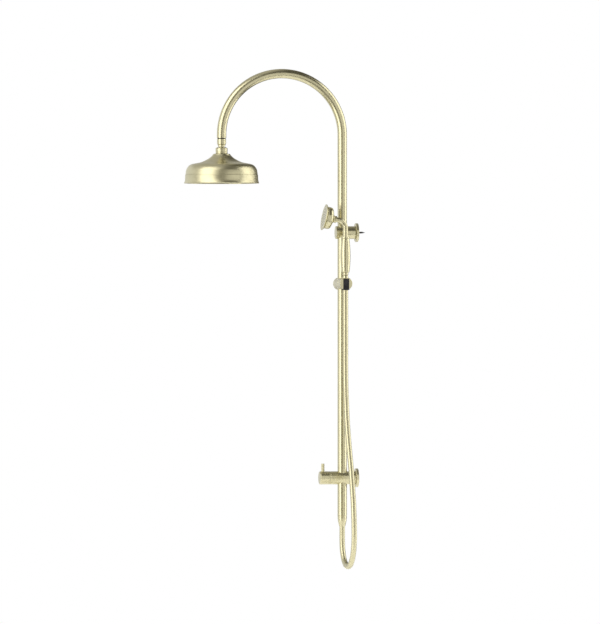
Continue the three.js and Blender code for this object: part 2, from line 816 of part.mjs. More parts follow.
function headShell(group) {
  const wall = 1.6;
  const outside = [
    [9.6, cupStart],
    [9.6, cupStart + 3.4],
    [8.8, cupStart + 4.2],
    [9.4, cupStart + 6.4],
    [12.5, cupStart + 8.6],
    [19.5, cupStart + 10.8],
    [25.5, cupStart + 13.2],
    [cupRadius - 1, cupStart + 16.4],
    [cupRadius, cupStart + 20],
    [cupRadius, rimStart - 0.2],
  ];
  const inside = outside.slice(4).map(([r, s]) => [r - wall, s + wall]).reverse();
  inside[0][1] = rimStart - 0.2;
  const outline = [[4.5, cupStart], ...outside, ...inside, [4.5, cupStart + 8.6 + wall]];
  part(group, 'handset_head_shell', turned('+z', outline, 20), agedBrass);
}

function headRim(group) {
  const bore = cupRadius + 0.8;
  const outline = [
    [cupRadius - 3.4, rimStart],
    [cupRadius + 0.2, rimStart],
    [cupRadius + 2.2, rimStart + 1.6],
    [headRadius - 0.8, rimStart + 3.4],
    [headRadius, faceAt - 0.8],
    [headRadius - 0.5, faceAt],
    [bore, faceAt],
    [bore, rimStart + 1.4],
    [cupRadius - 3.4, rimStart + 1.4],
  ];
  part(group, 'handset_rim', turned('+z', outline, 20), agedBrass);
}

function handsetFace(group) {
  const face = assembly(group, 0, 0, faceAt - 0.1);
  face.rotation.x = Math.PI;
  sprayFace(face, 'handset', cupRadius + 0.8 - fit, 0, nozzlePlaces([1, 6, 12], 9.5), 1.4, 20);
}

hoseNut(atHandset);
tail(atHandset);
grip(atHandset);
neck(atHandset);
headShell(head);
headRim(head);
handsetFace(head);

// ---------- hose: from the outlet nut, down, round its loop and up to the handset's nut ----------
const hoseTop = sliderZ + nutBottom - seat;
const hoseStart = -outletDrop - 29 - 2 * seat;
const strandX = handsetX;
const middleFrom = 328;
const upperFrom = 419;

const lowerRoute = [
  [0, -42, hoseStart],
  [0, -42, -148],
  [0, -42, -166],
  [5, -42, -190],
  [21, -41.4, -215],
  [45, -40.4, -230],
  [71, -39.2, -234],
  [97, -38, -229],
  [120, -36.8, -213],
  [135, -36, -190],
  [141.5, -35.6, -163],
  [141, -35.4, -135],
  [136, -35.2, -100],
  [128, -35.2, -63],
  [118, -35.6, -28],
  [102, -36.2, 20],
  [87, -37.4, 62],
  [74, -38.6, 102],
  [64, -39.8, 142],
  [56, -40.8, 190],
  [51, -41.6, 240],
  [48.4, -42, 290],
  [strandX, -42, middleFrom - seat],
];

function hosePiece(name, route) {
  const points = route.map(([x, y, z]) => new THREE.Vector3(x, y, z));
  const path = new THREE.CatmullRomCurve3(points, false, 'centripetal');
  const steps = Math.max(2, Math.round(path.getLength() / 24));
  part(column, name, pipeAlong(path, hoseRadius, 0, 8, steps), hoseFinish);
}

hosePiece('hose_lower', lowerRoute);
hosePiece('hose_middle', [[strandX, -42, middleFrom], [strandX, -42, 373], [strandX, -42, upperFrom - seat]]);
hosePiece('hose_upper', [[strandX, -42, upperFrom], [strandX, -42, 464], [strandX, -42, hoseTop]]);

export default column;
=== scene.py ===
"""Rainfall shower column: the looks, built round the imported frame. Sizes are in millimetres and
become metres when a mesh is placed."""

import json
import math

import bmesh
import bpy
from mathutils import Matrix, Vector
from mathutils.geometry import interpolate_bezier

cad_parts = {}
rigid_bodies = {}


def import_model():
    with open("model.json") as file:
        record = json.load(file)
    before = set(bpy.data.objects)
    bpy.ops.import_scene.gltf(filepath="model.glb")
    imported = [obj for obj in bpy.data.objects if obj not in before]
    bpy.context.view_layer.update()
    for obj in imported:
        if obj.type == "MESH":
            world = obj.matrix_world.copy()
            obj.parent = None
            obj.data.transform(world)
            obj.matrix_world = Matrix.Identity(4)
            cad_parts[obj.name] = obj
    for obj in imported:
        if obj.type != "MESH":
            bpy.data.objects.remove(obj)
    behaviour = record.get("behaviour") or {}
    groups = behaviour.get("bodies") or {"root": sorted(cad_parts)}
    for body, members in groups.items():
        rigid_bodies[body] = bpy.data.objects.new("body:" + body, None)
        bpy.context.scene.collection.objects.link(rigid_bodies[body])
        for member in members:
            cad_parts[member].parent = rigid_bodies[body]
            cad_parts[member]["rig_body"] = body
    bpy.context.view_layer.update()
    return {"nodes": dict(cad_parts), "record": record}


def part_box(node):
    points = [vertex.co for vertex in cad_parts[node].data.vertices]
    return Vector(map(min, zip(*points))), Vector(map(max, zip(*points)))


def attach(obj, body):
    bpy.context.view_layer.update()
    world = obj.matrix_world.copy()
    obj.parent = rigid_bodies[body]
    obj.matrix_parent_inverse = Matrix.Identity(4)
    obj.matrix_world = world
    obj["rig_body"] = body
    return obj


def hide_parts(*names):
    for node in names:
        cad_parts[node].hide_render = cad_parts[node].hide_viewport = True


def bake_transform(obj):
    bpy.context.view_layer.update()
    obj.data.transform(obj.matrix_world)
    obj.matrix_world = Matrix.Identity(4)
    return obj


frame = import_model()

MM = 0.001
SIDES = 96  # facets of a turned piece


# ---------- places taken from the frame ----------
def corners(node):
    low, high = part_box(node)
    return low / MM, high / MM


def middle(node):
    low, high = corners(node)
    return (low + high) / 2


def up(node):
    """Heights of a node's two ends."""
    low, high = corners(node)
    return low.z, high.z


def out(node):
    """Distances from the wall of a node's two ends."""
    low, high = corners(node)
    return -high.y, -low.y


def along(node):
    """Places of a node's two ends along X."""
    low, high = corners(node)
    return low.x, high.x


def radius(node):
    """Radius of a node that is turned about Y or Z."""
    left, right = along(node)
    return (right - left) / 2


def upright(x, y):
    return Matrix.Translation((x, y, 0))


def outwards(x, z):
    return Matrix.Translation((x, 0, z)) @ Matrix.Rotation(math.pi / 2, 4, "X")


def sideways(y, z):
    return Matrix.Translation((0, y, z)) @ Matrix.Rotation(math.pi / 2, 4, "Y")


PIPE = radius("riser_pipe")
PIPE_WALL = 1.2
HEAD_TILT = math.radians(11)
NECK_BEND = 21  # bend radius of the handset's neck
FIT = 0.15
ROUND_EDGE = 0.5  # small rounding of machined edges

riser = middle("riser_pipe")
arm = middle("arm_end_ring")
upper = middle("upper_bracket_body")
slider = middle("slider_liner")
handset = middle("handset_grip")
RISE_END = up("grip_bead")[1] + 24
HEAD_FOOT = Vector((
    handset.x,
    handset.y - NECK_BEND * (1 - math.sin(HEAD_TILT)),
    RISE_END + NECK_BEND * math.cos(HEAD_TILT),
))

AXES = {
    "riser": upright(riser.x, riser.y),
    "arm": upright(arm.x, arm.y),
    "lower": outwards(0, 0),
    "upper": outwards(0, upper.z),
    "slider": sideways(slider.y, slider.z),
    "handset": upright(handset.x, handset.y),
    "head": Matrix.Translation(HEAD_FOOT) @ Matrix.Rotation(math.pi / 2 - HEAD_TILT, 4, "X"),
}

# ---------- camera ----------
AZIMUTH = math.radians(80)
TOWARDS_CAMERA = Vector((math.sin(AZIMUTH), -math.cos(AZIMUTH), 0))
TO_THE_RIGHT = Vector((math.cos(AZIMUTH), math.sin(AZIMUTH), 0))
AIM = Vector((-0.0195, -0.1528, 0.4422))
VIEW_HEIGHT = 1.664
CAMERA_DISTANCE = 20
SENSOR = 36


def add_camera():
    data = bpy.data.cameras.new("camera")
    data.sensor_width = SENSOR
    data.lens = SENSOR * CAMERA_DISTANCE / VIEW_HEIGHT
    camera = bpy.data.objects.new("camera", data)
    bpy.context.scene.collection.objects.link(camera)
    camera.location = AIM + CAMERA_DISTANCE * TOWARDS_CAMERA
    camera.rotation_euler = (-TOWARDS_CAMERA).to_track_quat("-Z", "Y").to_euler()
    bpy.context.scene.camera = camera


add_camera()


# ---------- tools ----------
def add(name, mesh):
    piece = bpy.data.objects.new(name, mesh)
    bpy.context.scene.collection.objects.link(piece)
    return piece


def settled(piece):
    """The piece's mesh with its modifiers applied."""
    bpy.context.view_layer.update()
    depsgraph = bpy.context.evaluated_depsgraph_get()
    return bpy.data.meshes.new_from_object(piece.evaluated_get(depsgraph))


def turned(name, outline, place, sides=SIDES):
    """A turned piece. Its outline holds (radius, station) or (radius, station, rounding)."""
    bm = bmesh.new()
    points = [bm.verts.new((r, 0, station)) for r, station, *_ in outline]
    for a, b in zip(points, points[1:]):
        bm.edges.new((a, b))
    if outline[0][0] or outline[-1][0]:
        bm.edges.new((points[-1], points[0]))
    for point, (_, _, *edge) in zip(points, outline):
        if edge:
            bmesh.ops.bevel(bm, geom=[point], offset=edge[0], offset_type="OFFSET", segments=4,
                            profile=0.5, affect="VERTICES", material=-1)
    bmesh.ops.spin(bm, geom=bm.verts[:] + bm.edges[:], cent=(0, 0, 0), axis=(0, 0, 1),
                   dvec=(0, 0, 0), angle=2 * math.pi, steps=sides, use_merge=True,
                   use_normal_flip=False, use_duplicate=False)
    return placed(name, bm, place)


def placed(name, bm, place, merge=1e-4):
    bmesh.ops.remove_doubles(bm, verts=bm.verts[:], dist=merge)
    bmesh.ops.recalc_face_normals(bm, faces=bm.faces[:])
    bm.transform(Matrix.Scale(MM, 4) @ place)
    mesh = bpy.data.meshes.new(name)
    bm.to_mesh(mesh)
    bm.free()
    return add(name, mesh)


def cut(piece, *tools, operation="DIFFERENCE"):
    for tool in tools:
        change = piece.modifiers.new("cut", "BOOLEAN")
        change.object = tool
        change.operation = operation
        change.solver = "EXACT"
    mesh = settled(piece)
    piece.modifiers.clear()
    piece.data = mesh
    for tool in tools:
        bpy.data.objects.remove(tool)
    return piece


def drill(size, start, end, place, sides=48):
    return turned("drill", [(0, start), (size, start), (size, end), (0, end)], place, sides)


def smooth(piece, angle=35):
    piece.data.shade_smooth()
    piece.data.set_sharp_from_angle(angle=math.radians(angle))
    even = piece.modifiers.new("even shading", "WEIGHTED_NORMAL")
    even.keep_sharp = True


SLOTS = {row["node"]: row["material_slot"] for row in frame["record"]["subparts"]}


def fit(piece, finish, *nodes):
    """Gives a piece its finish and puts it in the place of its CAD nodes."""
    smooth(piece)
    piece.data.materials.clear()
    piece.data.materials.append(finish)
    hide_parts(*nodes)
    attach(piece, frame["nodes"][nodes[0]]["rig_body"])
    return piece


def through(points, steps):
    """Points on one smooth curve through the given ones."""
    points = [Vector(p) for p in points]
    found = []
    for i, (a, b) in enumerate(zip(points, points[1:])):
        before = points[max(i - 1, 0)]
        after = points[min(i + 2, len(points) - 1)]
        found += interpolate_bezier(a, a + (b - before) / 6, b - (after - a) / 6, b, steps)[:-1]
    return [*found, points[-1]]


# ---------- shader tools ----------
def node(tree, kind, place=(0, 0), **settings):
    made = tree.nodes.new(kind)
    made.location = place
    for key, value in settings.items():
        if hasattr(made, key) and not key[0].isupper():
            setattr(made, key, value)
        else:
            made.inputs[key].default_value = value
    return made


def group(name, inputs, outputs):
    tree = bpy.data.node_groups.new(name, "ShaderNodeTree")
    for label, kind, value in inputs:
        socket = tree.interface.new_socket(label, in_out="INPUT", socket_type=kind)
        if value is not None:
            socket.default_value = value
    for label in outputs:
        tree.interface.new_socket(label, in_out="OUTPUT", socket_type="NodeSocketFloat")
    return tree, tree.nodes.new("NodeGroupInput"), tree.nodes.new("NodeGroupOutput")


def math_node(tree, operation, a, b=None, clamp=False):
    made = tree.nodes.new("ShaderNodeMath")
    made.operation = operation
    made.use_clamp = clamp
    for socket, value in zip(made.inputs, (a, b)):
        if hasattr(value, "is_output"):
            tree.links.new(value, socket)
        elif value is not None:
            socket.default_value = value
    return made.outputs[0]


def turning_lines_group():
    """Fine lines that a lathe or a belt leaves round an axis, which is the Vector's Z."""
    inputs = [("Vector", "NodeSocketVector", None), ("Fineness", "NodeSocketFloat", 1500.0)]
    tree, start, end = group("turning_lines", inputs, ["Lines", "Bands"])
    parts = node(tree, "ShaderNodeSeparateXYZ")
    tree.links.new(start.outputs["Vector"], parts.inputs[0])
    x, y, z = parts.outputs
    squares = math_node(tree, "ADD", math_node(tree, "MULTIPLY", x, x), math_node(tree, "MULTIPLY", y, y))
    across = math_node(tree, "SQRT", squares)
    for label, share in (("Lines", 1.0), ("Bands", 0.12)):
        fine = math_node(tree, "MULTIPLY", start.outputs["Fineness"], share)
        spread = node(tree, "ShaderNodeCombineXYZ")
        tree.links.new(math_node(tree, "MULTIPLY", across, fine), spread.inputs[0])
        tree.links.new(math_node(tree, "MULTIPLY", z, fine), spread.inputs[1])
        slow = math_node(tree, "MULTIPLY", math_node(tree, "ADD", x, y), 24.0)
        tree.links.new(slow, spread.inputs[2])
        noise = node(tree, "ShaderNodeTexNoise", Scale=1.0, Detail=3.0, Roughness=0.6)
        tree.links.new(spread.outputs[0], noise.inputs["Vector"])
        tree.links.new(noise.outputs["Fac"], end.inputs[label])
    return tree


def patina_group():
    """Slow blotches of tarnish, and small dark specks."""
    inputs = [
        ("Vector", "NodeSocketVector", None),
        ("Blotch Scale", "NodeSocketFloat", 38.0),
        ("Speck Scale", "NodeSocketFloat", 900.0),
    ]
    tree, start, end = group("patina", inputs, ["Blotches", "Specks"])
    blotch = node(tree, "ShaderNodeTexNoise", Detail=5.0, Roughness=0.62, Distortion=0.6)
    tree.links.new(start.outputs["Vector"], blotch.inputs["Vector"])
    tree.links.new(start.outputs["Blotch Scale"], blotch.inputs["Scale"])
    tree.links.new(between(tree, blotch.outputs["Fac"], 0.38, 0.72), end.inputs["Blotches"])
    speck = node(tree, "ShaderNodeTexNoise", Detail=2.0, Roughness=0.5)
    tree.links.new(start.outputs["Vector"], speck.inputs["Vector"])
    tree.links.new(start.outputs["Speck Scale"], speck.inputs["Scale"])
    tree.links.new(between(tree, speck.outputs["Fac"], 0.66, 0.78), end.inputs["Specks"])
    return tree


def grain_group():
    """Fine even grain, as on moulded plastic and rubber."""
    inputs = [("Vector", "NodeSocketVector", None), ("Scale", "NodeSocketFloat", 2500.0)]
    tree, start, end = group("moulded_grain", inputs, ["Grain", "Cloud"])
    for label, share in (("Grain", 1.0), ("Cloud", 0.03)):
        noise = node(tree, "ShaderNodeTexNoise", Detail=4.0, Roughness=0.6)
        tree.links.new(start.outputs["Vector"], noise.inputs["Vector"])
        tree.links.new(math_node(tree, "MULTIPLY", start.outputs["Scale"], share), noise.inputs["Scale"])
        tree.links.new(noise.outputs["Fac"], end.inputs[label])
    return tree


def between(tree, value, low, high, to_low=0.0, to_high=1.0):
    made = tree.nodes.new("ShaderNodeMapRange")
    made.interpolation_type = "SMOOTHSTEP"
    tree.links.new(value, made.inputs["Value"])
    for label, number in zip(("From Min", "From Max", "To Min", "To Max"), (low, high, to_low, to_high)):
        made.inputs[label].default_value = number
    return made.outputs["Result"]


def mixed(tree, amount, first, second):
    """A colour between two others. Each is a socket or a plain colour."""
    made = tree.nodes.new("ShaderNodeMix")
    made.data_type = "RGBA"
    tree.links.new(amount, made.inputs["Factor"])
    for label, value in (("A", first), ("B", second)):
        socket = next(s for s in made.inputs if s.name == label and s.type == "RGBA")
        if hasattr(value, "is_output"):
            tree.links.new(value, socket)
        else:
            socket.default_value = (*value, 1)
    return next(s for s in made.outputs if s.type == "RGBA")


TURNING_LINES = turning_lines_group()
PATINA = patina_group()
GRAIN = grain_group()


def use(tree, shared, vector, **values):
    made = tree.nodes.new("ShaderNodeGroup")
    made.node_tree = shared
    tree.links.new(vector, made.inputs["Vector"])
    for key, value in values.items():
        made.inputs[key.replace("_", " ")].default_value = value
    return made.outputs


def blank(name, metallic, place=Matrix.Identity(4)):
    """A new material, with its shader, and coordinates whose Z runs along a piece's own axis."""
    material = bpy.data.materials.new(name)
    material.use_nodes = True
    tree = material.node_tree
    shader = tree.nodes["Principled BSDF"]
    shader.inputs["Metallic"].default_value = metallic
    where = tree.nodes.new("ShaderNodeTexCoord")
    turn = tree.nodes.new("ShaderNodeMapping")
    back = place.inverted()
    turn.inputs["Location"].default_value = back.translation * MM
    turn.inputs["Rotation"].default_value = back.to_euler()
    tree.links.new(where.outputs["Object"], turn.inputs["Vector"])
    return material, tree, shader, turn.outputs["Vector"]


def bump(tree, shader, height, strength, distance):
    made = node(tree, "ShaderNodeBump", Strength=strength, Distance=distance)
    tree.links.new(height, made.inputs["Height"])
    tree.links.new(made.outputs["Normal"], shader.inputs["Normal"])


PALE_BRASS = (0.62, 0.575, 0.37)
OLD_BRASS = (0.42, 0.385, 0.245)
DARK_BRASS = (0.16, 0.14, 0.085)
RAW_BRASS = (0.60, 0.42, 0.14)
STEEL = (0.42, 0.43, 0.44)
DARK_STEEL = (0.12, 0.12, 0.125)
BLACK = (0.012, 0.011, 0.012)
BLACK_WORN = (0.03, 0.029, 0.031)
WHITE = (0.78, 0.78, 0.74)
WHITE_SHADE = (0.66, 0.65, 0.6)
SOFT_GREY = (0.40, 0.40, 0.37)
SOFT_GREY_DARK = (0.32, 0.32, 0.30)


def brushed(name, place, light, dark, speck, rough=(0.22, 0.3), fineness=1500.0):
    """Brushed metal: lines round the axis, slow tarnish, and small dark specks."""
    material, tree, shader, vector = blank(name, 1.0, place)
    lines, bands = use(tree, TURNING_LINES, vector, Fineness=fineness)
    blotches, specks = use(tree, PATINA, vector)
    tarnish = math_node(tree, "MULTIPLY", blotches, 0.16)
    tarnish = math_node(tree, "ADD", tarnish, between(tree, bands, 0.35, 0.75, 0.0, 0.14), clamp=True)
    colour = mixed(tree, tarnish, light, dark)
    colour = mixed(tree, math_node(tree, "MULTIPLY", specks, 0.08), colour, speck)
    tree.links.new(colour, shader.inputs["Base Color"])
    roughness = between(tree, lines, 0.3, 0.7, *rough)
    roughness = math_node(tree, "ADD", roughness, math_node(tree, "MULTIPLY", blotches, 0.06))
    tree.links.new(roughness, shader.inputs["Roughness"])
    bump(tree, shader, lines, 0.02, 0.0001)
    return material


def moulded(name, light, dark, rough, grain=2500.0, depth=0.15, shine=0.5):
    """Moulded plastic or rubber: a fine grain of roughness and bumps, with faint clouds of colour."""
    material, tree, shader, vector = blank(name, 0.0)
    shader.inputs["Specular IOR Level"].default_value = shine
    grains, cloud = use(tree, GRAIN, vector, Scale=grain)
    tree.links.new(mixed(tree, between(tree, cloud, 0.35, 0.65), light, dark), shader.inputs["Base Color"])
    tree.links.new(between(tree, grains, 0.3, 0.7, *rough), shader.inputs["Roughness"])
    bump(tree, shader, grains, depth, 0.0002)
    return material


BRASS = {axis: brushed(f"aged_brass_{axis}", AXES[axis], PALE_BRASS, OLD_BRASS, DARK_BRASS) for axis in AXES if axis != "arm"}
BRASS["arm"] = brushed("aged_brass_arm", AXES["arm"], PALE_BRASS, OLD_BRASS, DARK_BRASS, rough=(0.29, 0.37))
RAW = brushed("raw_brass", AXES["lower"], RAW_BRASS, OLD_BRASS, DARK_BRASS, rough=(0.25, 0.4), fineness=900.0)
STAINLESS = brushed("stainless", AXES["lower"], STEEL, DARK_STEEL, DARK_STEEL)
SCREW_STEEL = brushed("dark_steel", AXES["upper"], DARK_STEEL, BLACK_WORN, BLACK, rough=(0.3, 0.45))
BLACK_PLASTIC = moulded("black_plastic", BLACK, BLACK_WORN, (0.3, 0.42), shine=0.25)
WHITE_PLASTIC = moulded("white_plastic", WHITE, WHITE_SHADE, (0.35, 0.5))
RUBBER = moulded("rubber", BLACK_WORN, BLACK, (0.7, 0.9), depth=0.3)
SILICONE = moulded("silicone", SOFT_GREY, SOFT_GREY_DARK, (0.5, 0.65), grain=1600.0)
HOSE = brushed("hose_brass", AXES["handset"], PALE_BRASS, OLD_BRASS, DARK_BRASS, rough=(0.2, 0.28))

# ---------- hose: one hose in three stretches, each across one joint ----------
HOSE_RADIUS = 7.5
RIB_PITCH = 2.6
RIB_SHARES = (1.0, 1.0, 1.0, 0.955)  # radius at the four stations of each rib
strand = middle("hose_middle")
hose_seam = up("hose_middle")[0]
HOSE_EXIT = up("outlet_cone_nut")[0]
HOSE_ROUTE = [
    (0, -42, HOSE_EXIT), (0, -42, -148), (0, -42, -166), (5, -42, -190), (21, -41.4, -215),
    (45, -40.4, -230), (71, -39.2, -234), (97, -38, -229), (120, -36.8, -213), (135, -36, -190),
    (141.5, -35.6, -163), (141, -35.4, -135), (136, -35.2, -100), (128, -35.2, -63), (118, -35.6, -28),
    (102, -36.2, 20), (87, -37.4, 62), (74, -38.6, 102), (64, -39.8, 142), (56, -40.8, 190),
    (51, -41.6, 240), (48.4, -42, 290), (strand.x, -42, hose_seam),
]


def evenly(points, step):
    """Points along a line of points, about one step apart."""
    lengths = [(b - a).length for a, b in zip(points, points[1:])]
    count = round(sum(lengths) / step)
    gap = sum(lengths) / count
    found = [points[0]]
    walked = 0.0
    for a, b, length in zip(points, points[1:], lengths):
        while len(found) < count and walked + length >= gap * len(found):
            found.append(a.lerp(b, (gap * len(found) - walked) / length))
        walked += length
    return [*found, points[-1]]


def hose_stretch(name, route, cad_node):
    line = evenly(through(route, 16), RIB_PITCH / len(RIB_SHARES))
    curve = bpy.data.curves.new(name, "CURVE")
    curve.dimensions = "3D"
    curve.bevel_depth = HOSE_RADIUS * MM
    curve.bevel_resolution = 4
    curve.use_fill_caps = True
    spline = curve.splines.new("POLY")
    spline.points.add(len(line) - 1)
    for i, (point, place) in enumerate(zip(spline.points, line)):
        point.co = (*place * MM, 1)
        point.radius = RIB_SHARES[i % len(RIB_SHARES)]
    former = add(name, curve)
    mesh = settled(former)
    bpy.data.objects.remove(former)
    hose = add(name, mesh)
    hose.data.shade_smooth()
    hose.data.materials.clear()
    hose.data.materials.append(HOSE)
    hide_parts(cad_node)
    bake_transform(hose)


def strand_at(height):
    return Vector((strand.x, strand.y, height))


def straight(node_name, bottom, top):
    return [strand_at(bottom), strand_at((bottom + top) / 2), strand_at(top)]


upper_seam = up("hose_upper")[0]
hose_top = up("hose_cone_nut")[0]
hose_stretch("hose_loop", HOSE_ROUTE, "hose_lower")
hose_stretch("hose_below_holder", straight("hose_middle", hose_seam, upper_seam), "hose_middle")
hose_stretch("hose_to_handset", straight("hose_upper", upper_seam, hose_top), "hose_upper")


# ---------- lower bracket: stations are distances from the wall ----------
def rosette(name, node_name, hole, axis):
    wall, face = out(node_name)
    edge = radius(node_name)
    outline = [(hole, wall), (edge - 0.4, wall, 0.3), (edge, wall + 0.8, 0.5), (edge, face, 1.2), (hole, face, 0.3)]
    fit(turned(name, outline, AXES[axis]), BRASS[axis], node_name)


def inlet():
    wall, depth = out("inlet_union")
    flange = radius("inlet_union")
    step = out("inlet_filter")[0]
    thread = flange - 2.6
    bore = 7.5
    outline = [(bore, depth, 0.4)]
    turns = int((depth - step - 1) / 1.8)
    for i in range(turns):
        station = depth - 0.5 - 1.8 * i
        outline += [(thread, station), (thread - 0.9, station - 0.9)]
    outline += [
        (thread, step, 0.2), (flange, step, 0.4), (flange, wall, 0.5),
        (flange - 2.5, wall, 0.3), (flange - 2.5, step - 2), (bore, step - 2),
    ]
    fit(turned("inlet_union_thread", outline, AXES["lower"], 64), RAW, "inlet_union")
    mesh_start, mesh_end = out("inlet_filter")
    screen = turned("inlet_screen", [(0, mesh_start), (bore - FIT, mesh_start), (bore - FIT, mesh_end), (0, mesh_end)],
                    AXES["lower"], 48)
    holes = bmesh.new()
    for i in range(-4, 5):
        for j in range(-4, 5):
            if math.hypot(i, j) < 4.4:
                bmesh.ops.create_cone(
                    holes, cap_ends=True, segments=6, radius1=0.5, radius2=0.5, depth=4,
                    matrix=Matrix.Translation((1.5 * i, 1.5 * j, mesh_start)))
    fit(cut(screen, placed("drill", holes, AXES["lower"])), STAINLESS, "inlet_filter")
    start, end = out("inlet_washer")
    washer = [(6, start, 0.4), (flange - 2.7, start, 0.4), (flange - 2.7, end, 0.4), (6, end, 0.4)]
    fit(turned("inlet_seal_washer", washer, AXES["lower"]), RUBBER, "inlet_washer")


def diverter():
    start, end = out("diverter_body")
    size = radius("diverter_body")
    pocket = out("cartridge_seal")[0] - 0.1
    outline = [
        (10.55, start), (size, start, ROUND_EDGE), (size, end - 3.2, 0.2), (size - 0.5, end - 2.9, 0.2),
        (size - 0.5, end - 2.2, 0.2), (size, end - 1.9, 0.2), (size, end, ROUND_EDGE), (13.55, end),
        (13.55, pocket), (6, pocket), (6, 24), (10.55, 24),
    ]
    body = turned("diverter_barrel", outline, AXES["lower"])
    cut(body, drill(PIPE + FIT, 8, size + 2, AXES["riser"], SIDES),
        drill(PIPE + FIT, -size - 2, -8, AXES["riser"], SIDES), drill(9, -9, 9, AXES["riser"]))
    fit(body, BRASS["lower"], "diverter_body")


def diverter_handle():
    start, end = out("diverter_handle")
    size = radius("diverter_handle")
    spindle = radius("diverter_spindle") + FIT
    lever = middle("lever_pin")
    grub = middle("handle_grub_screw")
    outline = [
        (size - 3, start), (size, start, ROUND_EDGE), (size, end - 2.8, 0.3), (size - 0.6, end - 2.2, 0.3),
        (size - 0.6, end, 1.1), (size - 4.5, end, 0.4), (size - 5, end - 0.5, 0.4), (0, end - 0.5),
        (0, end - 8), (spindle, end - 8), (spindle, start + 8), (size - 3, start + 8),
    ]
    knob = turned("diverter_knob", outline, AXES["lower"])
    lever_foot, lever_top = up("lever_pin")
    lever_size = radius("lever_pin")
    cut(knob, drill(lever_size + FIT, lever_foot, size + 2, upright(lever.x, lever.y)),
        drill(2.2, -size - 2, -spindle, upright(grub.x, grub.y)))
    fit(knob, BRASS["lower"], "diverter_handle")
    pin = [
        (0, lever_foot), (lever_size, lever_foot), (lever_size, lever_top, 0.8), (0, lever_top),
    ]
    fit(turned("diverter_lever", pin, upright(lever.x, lever.y), 64), BRASS["riser"], "lever_pin")
    screw("handle_set_screw", "handle_grub_screw", upright(grub.x, grub.y), up("handle_grub_screw"))


def screw(name, node_name, place, ends):
    """A headless screw with a hexagon socket in its lower end."""
    size = radius(node_name)
    low, high = ends
    body = turned(name, [(0, low), (size, low, 0.3), (size, high, 0.3), (0, high)], place, 48)
    fit(cut(body, drill(1.05, low - 1, low + 2.4, place, 6)), SCREW_STEEL, node_name)


def pipes():
    for name, node_name in (("riser_tube", "riser_pipe"), ("outlet_tube", "outlet_pipe")):
        low, high = up(node_name)
        bore = PIPE - PIPE_WALL
        outline = [(bore, low), (PIPE, low, 0.4), (PIPE, high, 0.4), (bore, high)]
        fit(turned(name, outline, AXES["riser"]), BRASS["riser"], node_name)


def outlet_cone():
    low, high = up("outlet_cone_nut")
    top = high - 8
    length = top - low
    cone = [(PIPE - 0.3, top - 0.28 * length), (PIPE - 1.2, top - 0.52 * length), (PIPE - 2.5, top - 0.72 * length),
            (HOSE_RADIUS + 1, top - 0.94 * length)]
    flank = [tuple(p) for p in through(cone, 8)]
    outline = [
        (5, high), (radius("pipe_coupler"), high, 0.3), (radius("pipe_coupler"), top), (PIPE, top, 0.3),
        (PIPE, top - 2.4, 0.2), (PIPE - 0.45, top - 2.8, 0.2), (PIPE - 0.45, top - 3.4, 0.2), (PIPE - 0.05, top - 3.8, 0.2),
        *flank, (HOSE_RADIUS + 0.5, low, 0.4), (5, low),
    ]
    fit(turned("outlet_cone", outline, AXES["riser"]), BRASS["riser"], "outlet_cone_nut")


rosette("lower_rosette", "lower_wall_rosette", radius("inlet_union") + 0.3, "lower")
inlet()
diverter()
diverter_handle()
pipes()
outlet_cone()


# ---------- upper bracket ----------
def upper_bracket():
    start, end = out("upper_bracket_body")
    size = radius("upper_bracket_body")
    boss = radius("wall_boss")
    grub = middle("upper_grub_screw")
    outline = [
        (boss + FIT, start), (size, start, ROUND_EDGE), (size, end, 0.25), (8.15, end), (8.15, end - 0.9), (0, end - 0.9),
        (0, 25), (boss + FIT, 25),
    ]
    body = turned("upper_barrel", outline, AXES["upper"])
    cut(body, drill(PIPE + FIT, upper.z - size - 2, upper.z + size + 2, AXES["riser"], SIDES),
        drill(2.2, upper.z - size - 2, upper.z - boss + 2, upright(grub.x, grub.y)))
    fit(body, BRASS["upper"], "upper_bracket_body")
    cap_low, cap_top = out("upper_bracket_cap")
    cap = [
        (0, cap_low), (8, cap_low), (8, cap_low + 0.8), (size, cap_low + 0.8, 0.2), (size, cap_top, 1.0),
        (size - 3.4, cap_top, 0.3), (size - 3.9, cap_top - 0.35, 0.3), (0, cap_top - 0.35),
    ]
    fit(turned("upper_end_cap", cap, AXES["upper"]), BRASS["upper"], "upper_bracket_cap")
    screw("upper_set_screw", "upper_grub_screw", upright(grub.x, grub.y), up("upper_grub_screw"))


def wall_fixing():
    low, high = out("wall_boss")
    boss = radius("wall_boss")
    size = radius("wall_stud")
    outline = [(size + FIT, low), (boss, low, 0.6), (boss, high, 0.6), (size + FIT, high)]
    fit(turned("stud_boss", outline, AXES["upper"]), RAW, "wall_boss")
    tip, head = out("wall_stud")
    thread_end = tip + 12
    pitch = 0.8
    stud = [(0, tip), (size - 0.25, thread_end - 5, 0.3)]
    for i in range(int((head - thread_end) / pitch)):
        station = thread_end - 4 + pitch * i
        stud += [(size - 0.35, station), (size, station + pitch / 2)]
    stud += [(size - 0.35, head - 0.4), (size - 0.8, head), (0, head)]
    fit(turned("wall_screw", stud, AXES["upper"], 48), SCREW_STEEL, "wall_stud")


rosette("upper_rosette", "upper_wall_rosette", radius("wall_boss") + 0.3, "upper")
upper_bracket()
wall_fixing()


